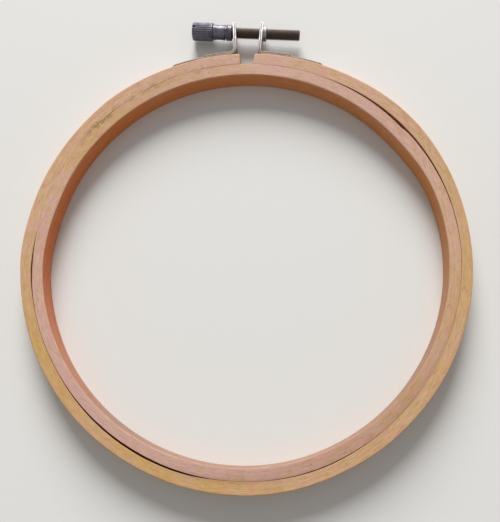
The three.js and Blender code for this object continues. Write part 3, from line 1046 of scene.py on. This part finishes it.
def noise(vector, along, across, detail=4.0, roughness=0.55):
    """Soft random shading from 0 to 1, mostly near a half, in so many patches to the millimetre."""
    inputs = {"Vector": scaled(vector, along, across), "Scale": 1.0, "Detail": detail, "Roughness": roughness}
    return add(vector.id_data, "TexNoise", inputs, noise_dimensions="2D")


def spread(value, low, high, to_low=0.0, to_high=1.0):
    """Stretches the values between low and high over another range, and holds them at its ends."""
    inputs = {"Value": value, "From Min": low, "From Max": high, "To Min": to_low, "To Max": to_high}
    return add(value.id_data, "MapRange", inputs)


def times(first, second):
    """The product of two numbers. The first one is a socket."""
    return maths("MULTIPLY", first, second)


def mark(tree, name):
    """A number that was painted on the points."""
    return add(tree, "Attribute", output=2, attribute_name=name)


def mixed(share, first, second, blend="MIX"):
    """Two colours mixed by a share."""
    inputs = {0: share, 6: first, 7: second}
    return add(share.id_data, "Mix", inputs, output=2, data_type="RGBA", blend_type=blend)


def layered(colour, layers):
    """A colour with others laid over it in turn, each by its share and, where one is named, its blend."""
    for share, *layer in layers:
        colour = mixed(share, colour, *layer)
    return colour

# %% Mix the beech
grain_drift = 0.9


def beech(name, pale, warm, yellow, pink, wall_tones):
    """Bare sanded beech. Streaks mix pale and warm wood, clouds bring in yellow and pink, smaller patches are
    pinkish or greenish, and fibres and flecks darken it. The bore has painted light of its own: a dimmed tone
    where the light falls, an orange painted shade where it lies in shade, and a redder painted reflection
    over that towards the left."""
    material, tree, shader = new_material(name)
    grain = add(tree, "UVMap", uv_map="grain")
    drift = noise(grain, 0.05, 0.2, detail=2.0)
    aside = spread(drift, 0, 1, -grain_drift * MM, grain_drift * MM)
    shift = add(tree, "CombineXYZ", {"Y": aside})
    wavy = add(tree, "VectorMath", {0: grain, 1: shift}, operation="ADD")
    streak = noise(wavy, 0.03, 1.0, detail=6.0, roughness=0.6)
    fibre = noise(wavy, 0.25, 7.0, detail=3.0)
    cloud = noise(grain, 0.07, 0.16, detail=3.0)
    patch = noise(grain, 0.28, 0.42, detail=3.0, roughness=0.5)
    few = noise(grain, 0.3, 0.9, detail=2.0)
    dent = noise(grain, 0.42, 0.3)
    cells = add(tree, "TexVoronoi", {"Vector": scaled(wavy, 0.5, 4.0), "Scale": 1.0}, voronoi_dimensions="2D")
    fleck = times(spread(cells, 0.12, 0.3, 1.0, 0.0), spread(few, 0.5, 0.62))

    yellow_share = times(spread(cloud, 0.38, 0.6, 0.3, 1.0), mark(tree, "yellowish"))
    pink_share = times(spread(cloud, 0.38, 0.6, 1.0, 0.6), mark(tree, "pinkish"))
    # The bore's painted light: the first tone is dimmed for the side where the light falls, the second, held
    # in lit, is an orange painted shade for the side in shade, and the third a redder painted reflection laid
    # over it towards the left.
    lit_side_dimmed, lit, painted_red_reflection = wall_tones
    lit = mixed(mark(tree, "painted_reflection_side"), lit, painted_red_reflection)
    wall_colour = mixed(spread(mark(tree, "shade_side"), 0.15, 0.6), lit_side_dimmed, lit)
    wall_share = times(mark(tree, "inner_wall"), spread(streak, 0.3, 0.7, 0.75, 0.95))
    sanded = times(mark(tree, "eased"), spread(few, 0.35, 0.6, 0.05, 0.4))
    blot = times(mark(tree, "bruised"), spread(dent, 0.47, 0.6, 0.0, 0.7))
    from_glue = maths("ABSOLUTE", mark(tree, "from_glue"))
    glue = times(spread(from_glue, 0.03, 0.12, 0.5, 0.0), mark(tree, "glue_shows"))
    colour = layered(pale, [
        (spread(streak, 0.36, 0.64), warm),
        (yellow_share, yellow),
        (pink_share, pink),
        (wall_share, wall_colour),
        (spread(patch, 0.5, 0.66, 0.0, 0.4), tone(255, 234, 250), "MULTIPLY"),
        (spread(patch, 0.5, 0.36, 0.0, 0.55), tone(244, 252, 214), "MULTIPLY"),
        (spread(fibre, 0.3, 0.7, 0.0, 0.35), tone(150, 108, 78), "MULTIPLY"),
        (times(fleck, 0.5), tone(140, 92, 58)),
        (sanded, tone(224, 190, 164)),
        (mark(tree, "dulled"), tone(240, 236, 240), "MULTIPLY"),
        (blot, tone(142, 118, 62)),
        # Painted shade along the joint between the rings.
        (times(mark(tree, "painted_joint_shade"), 0.6), tone(206, 190, 184), "MULTIPLY"),
        (glue, tone(124, 88, 58)),
    ])
    rough = spread(streak, 0.3, 0.7, 0.5, 0.66)
    height = maths("ADD", times(fibre, 0.6), times(fleck, -0.5))
    bump = add(tree, "Bump", {"Strength": 0.25, "Distance": 0.1 * MM, "Height": height})
    set_inputs(shader, {"Base Color": colour, "Roughness": rough, "Normal": bump, "Specular IOR Level": 0.15})
    return material


def end_grain(name):
    """The sawn end of a strip: paler and rougher, with growth rings across it and dark pores."""
    material, tree, shader = new_material(name)
    grain = add(tree, "UVMap", uv_map="grain")
    rings = noise(grain, 1.6, 0.3, detail=3.0)
    pores = noise(grain, 9.0, 9.0, detail=2.0)
    colour = layered(tone(206, 168, 130), [
        (spread(rings, 0.35, 0.65), tone(176, 130, 92)),
        (spread(pores, 0.55, 0.68, 0.0, 0.5), tone(118, 80, 52)),
    ])
    bump = add(tree, "Bump", {"Strength": 0.4, "Distance": 0.1 * MM, "Height": pores})
    set_inputs(shader, {"Base Color": colour, "Roughness": 0.75, "Normal": bump})
    return material


# The inner bore's tones: dimmed for its lit side, orange painted shade, and a redder painted reflection.
inner_beech = beech(
    "inner_beech", tone(220, 184, 164), tone(214, 172, 148), tone(212, 172, 124), tone(216, 176, 166),
    (tone(149, 119, 102), tone(222, 148, 80), tone(230, 126, 66)))
outer_beech = beech(
    "outer_beech", tone(220, 182, 148), tone(212, 170, 132), tone(212, 172, 112), tone(218, 178, 160),
    [tone(176, 118, 74)] * 3)
sawn_end = end_grain("sawn_beech")
inner_ring.data.materials.append(inner_beech)
for half in (right_half, left_half):
    half.data.materials.append(outer_beech)
    half.data.materials.append(sawn_end)
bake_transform(right_half)
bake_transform(left_half)
print("beech in", len(inner_beech.node_tree.nodes), "nodes")

# %% [markdown]
# ## Steel
#
# The brackets and tacks have a thin plating, satin at the ears and dull on the feet. On the brackets, painted
# shade greys the ears down to the bend and darkens the feet, and their cut edges get a brownish painted
# reflection of the wood. The screw is darker: a bluish grey film covers its barrel and neck, with a lighter
# bluish painted reflection of the sky on the knurl, and its thread is an oily brown, darker in its roots. A
# plain grey would look like plastic, because a metal's look comes from what it mirrors. So each finish is a
# metallic shader of uneven roughness, with faint lines along the piece.

# %% Mix the metals
def steel(name, bright, dull, smooth, coarse, metal):
    """Metal with dull spots and fine lines along it. metal is how much of it mirrors, the rest is a film."""
    material, tree, shader = new_material(name)
    grain = add(tree, "UVMap", uv_map="grain")
    spots = noise(grain, 0.5, 0.5, detail=5.0, roughness=0.65)
    lines = noise(grain, 0.4, 12.0, detail=3.0)
    colour = layered(bright, [(spread(spots, 0.45, 0.7), dull), (spread(lines, 0.35, 0.7, 0.0, 0.3), dull)])
    rough = spread(spots, 0.35, 0.7, smooth, coarse)
    bump = add(tree, "Bump", {"Strength": 0.15, "Distance": 0.05 * MM, "Height": lines})
    set_inputs(shader, {"Base Color": colour, "Metallic": metal, "Roughness": rough, "Normal": bump})
    return material, tree, shader, colour, rough


def plating_and_painted_shade():
    """The brackets' plating, with painted light: bright at the ears' tips, where the light falls, and greyed
    by painted shade down to the bend. Along the wood it is dull and darker, by painted shade, and its cut
    edges are brownish, a painted reflection of the wood. The heights are millimetres above the wood."""
    bright, dull = tone(176, 174, 180), tone(150, 147, 152)
    material, tree, shader, colour, rough = steel("plated_steel_painted_shade", bright, dull, 0.55, 0.7, 1.0)
    height = mark(tree, "up_ear")
    # Painted shade: the ear greys down towards the bend, below its lit tip.
    colour = mixed(spread(height, 11.0, 7.0, 0.0, 0.6), colour, tone(140, 128, 127))
    # Painted shade darkens the feet along the wood, and a brownish painted reflection of the wood lies on
    # their cut edges.
    foot = layered(tone(158, 153, 150), [
        (spread(rough, 0.55, 0.7), tone(128, 122, 119)),
        (mark(tree, "cut_edge"), tone(126, 111, 100)),
    ])
    colour = mixed(spread(height, 1.4, 3.6), foot, colour)
    set_inputs(shader, {"Base Color": colour})
    return material


def screw_finish():
    """The screw's steel: a dark bluish film on the barrel and neck and an olive brown one on the thread. A
    lighter bluish painted reflection of the sky lies on the knurl, and both reliefs are darker in their
    grooves, and rougher."""
    bright, dull = tone(110, 106, 116), tone(70, 64, 71)
    material, tree, shader, colour, rough = steel("screw_steel_worn_painted_sky", bright, dull, 0.34, 0.5, 0.55)
    knurled, grooved, threaded = mark(tree, "knurled"), mark(tree, "grooved"), mark(tree, "threaded")
    # The thread darker towards its roots.
    thread_colour = mixed(spread(grooved, 0.1, 0.8), tone(96, 84, 74), tone(72, 60, 52))
    colour = layered(colour, [
        # A painted reflection of the sky: a lighter bluish grey over the knurled barrel.
        (times(knurled, 0.35), tone(124, 125, 137)),
        # Both reliefs darker in the knurl's grooves and the thread's roots.
        (spread(grooved, 0.25, 0.95, 0.0, 0.5), tone(62, 54, 60)),
        (threaded, thread_colour),
    ])
    rough = maths("ADD", rough, times(maths("MAXIMUM", knurled, threaded), 0.22))
    set_inputs(shader, {"Base Color": colour, "Roughness": rough})
    return material


plating = plating_and_painted_shade()
nail_steel = steel("nail_steel", tone(166, 162, 164), tone(128, 122, 122), 0.35, 0.55, 0.8)[0]
for piece in brackets + [bush]:
    piece.data.materials.append(plating)
for piece in tacks:
    piece.data.materials.append(nail_steel)
screw.data.materials.clear()
screw.data.materials.append(screw_finish())
print("steel on", len(brackets + [bush] + tacks + [screw]), "pieces")
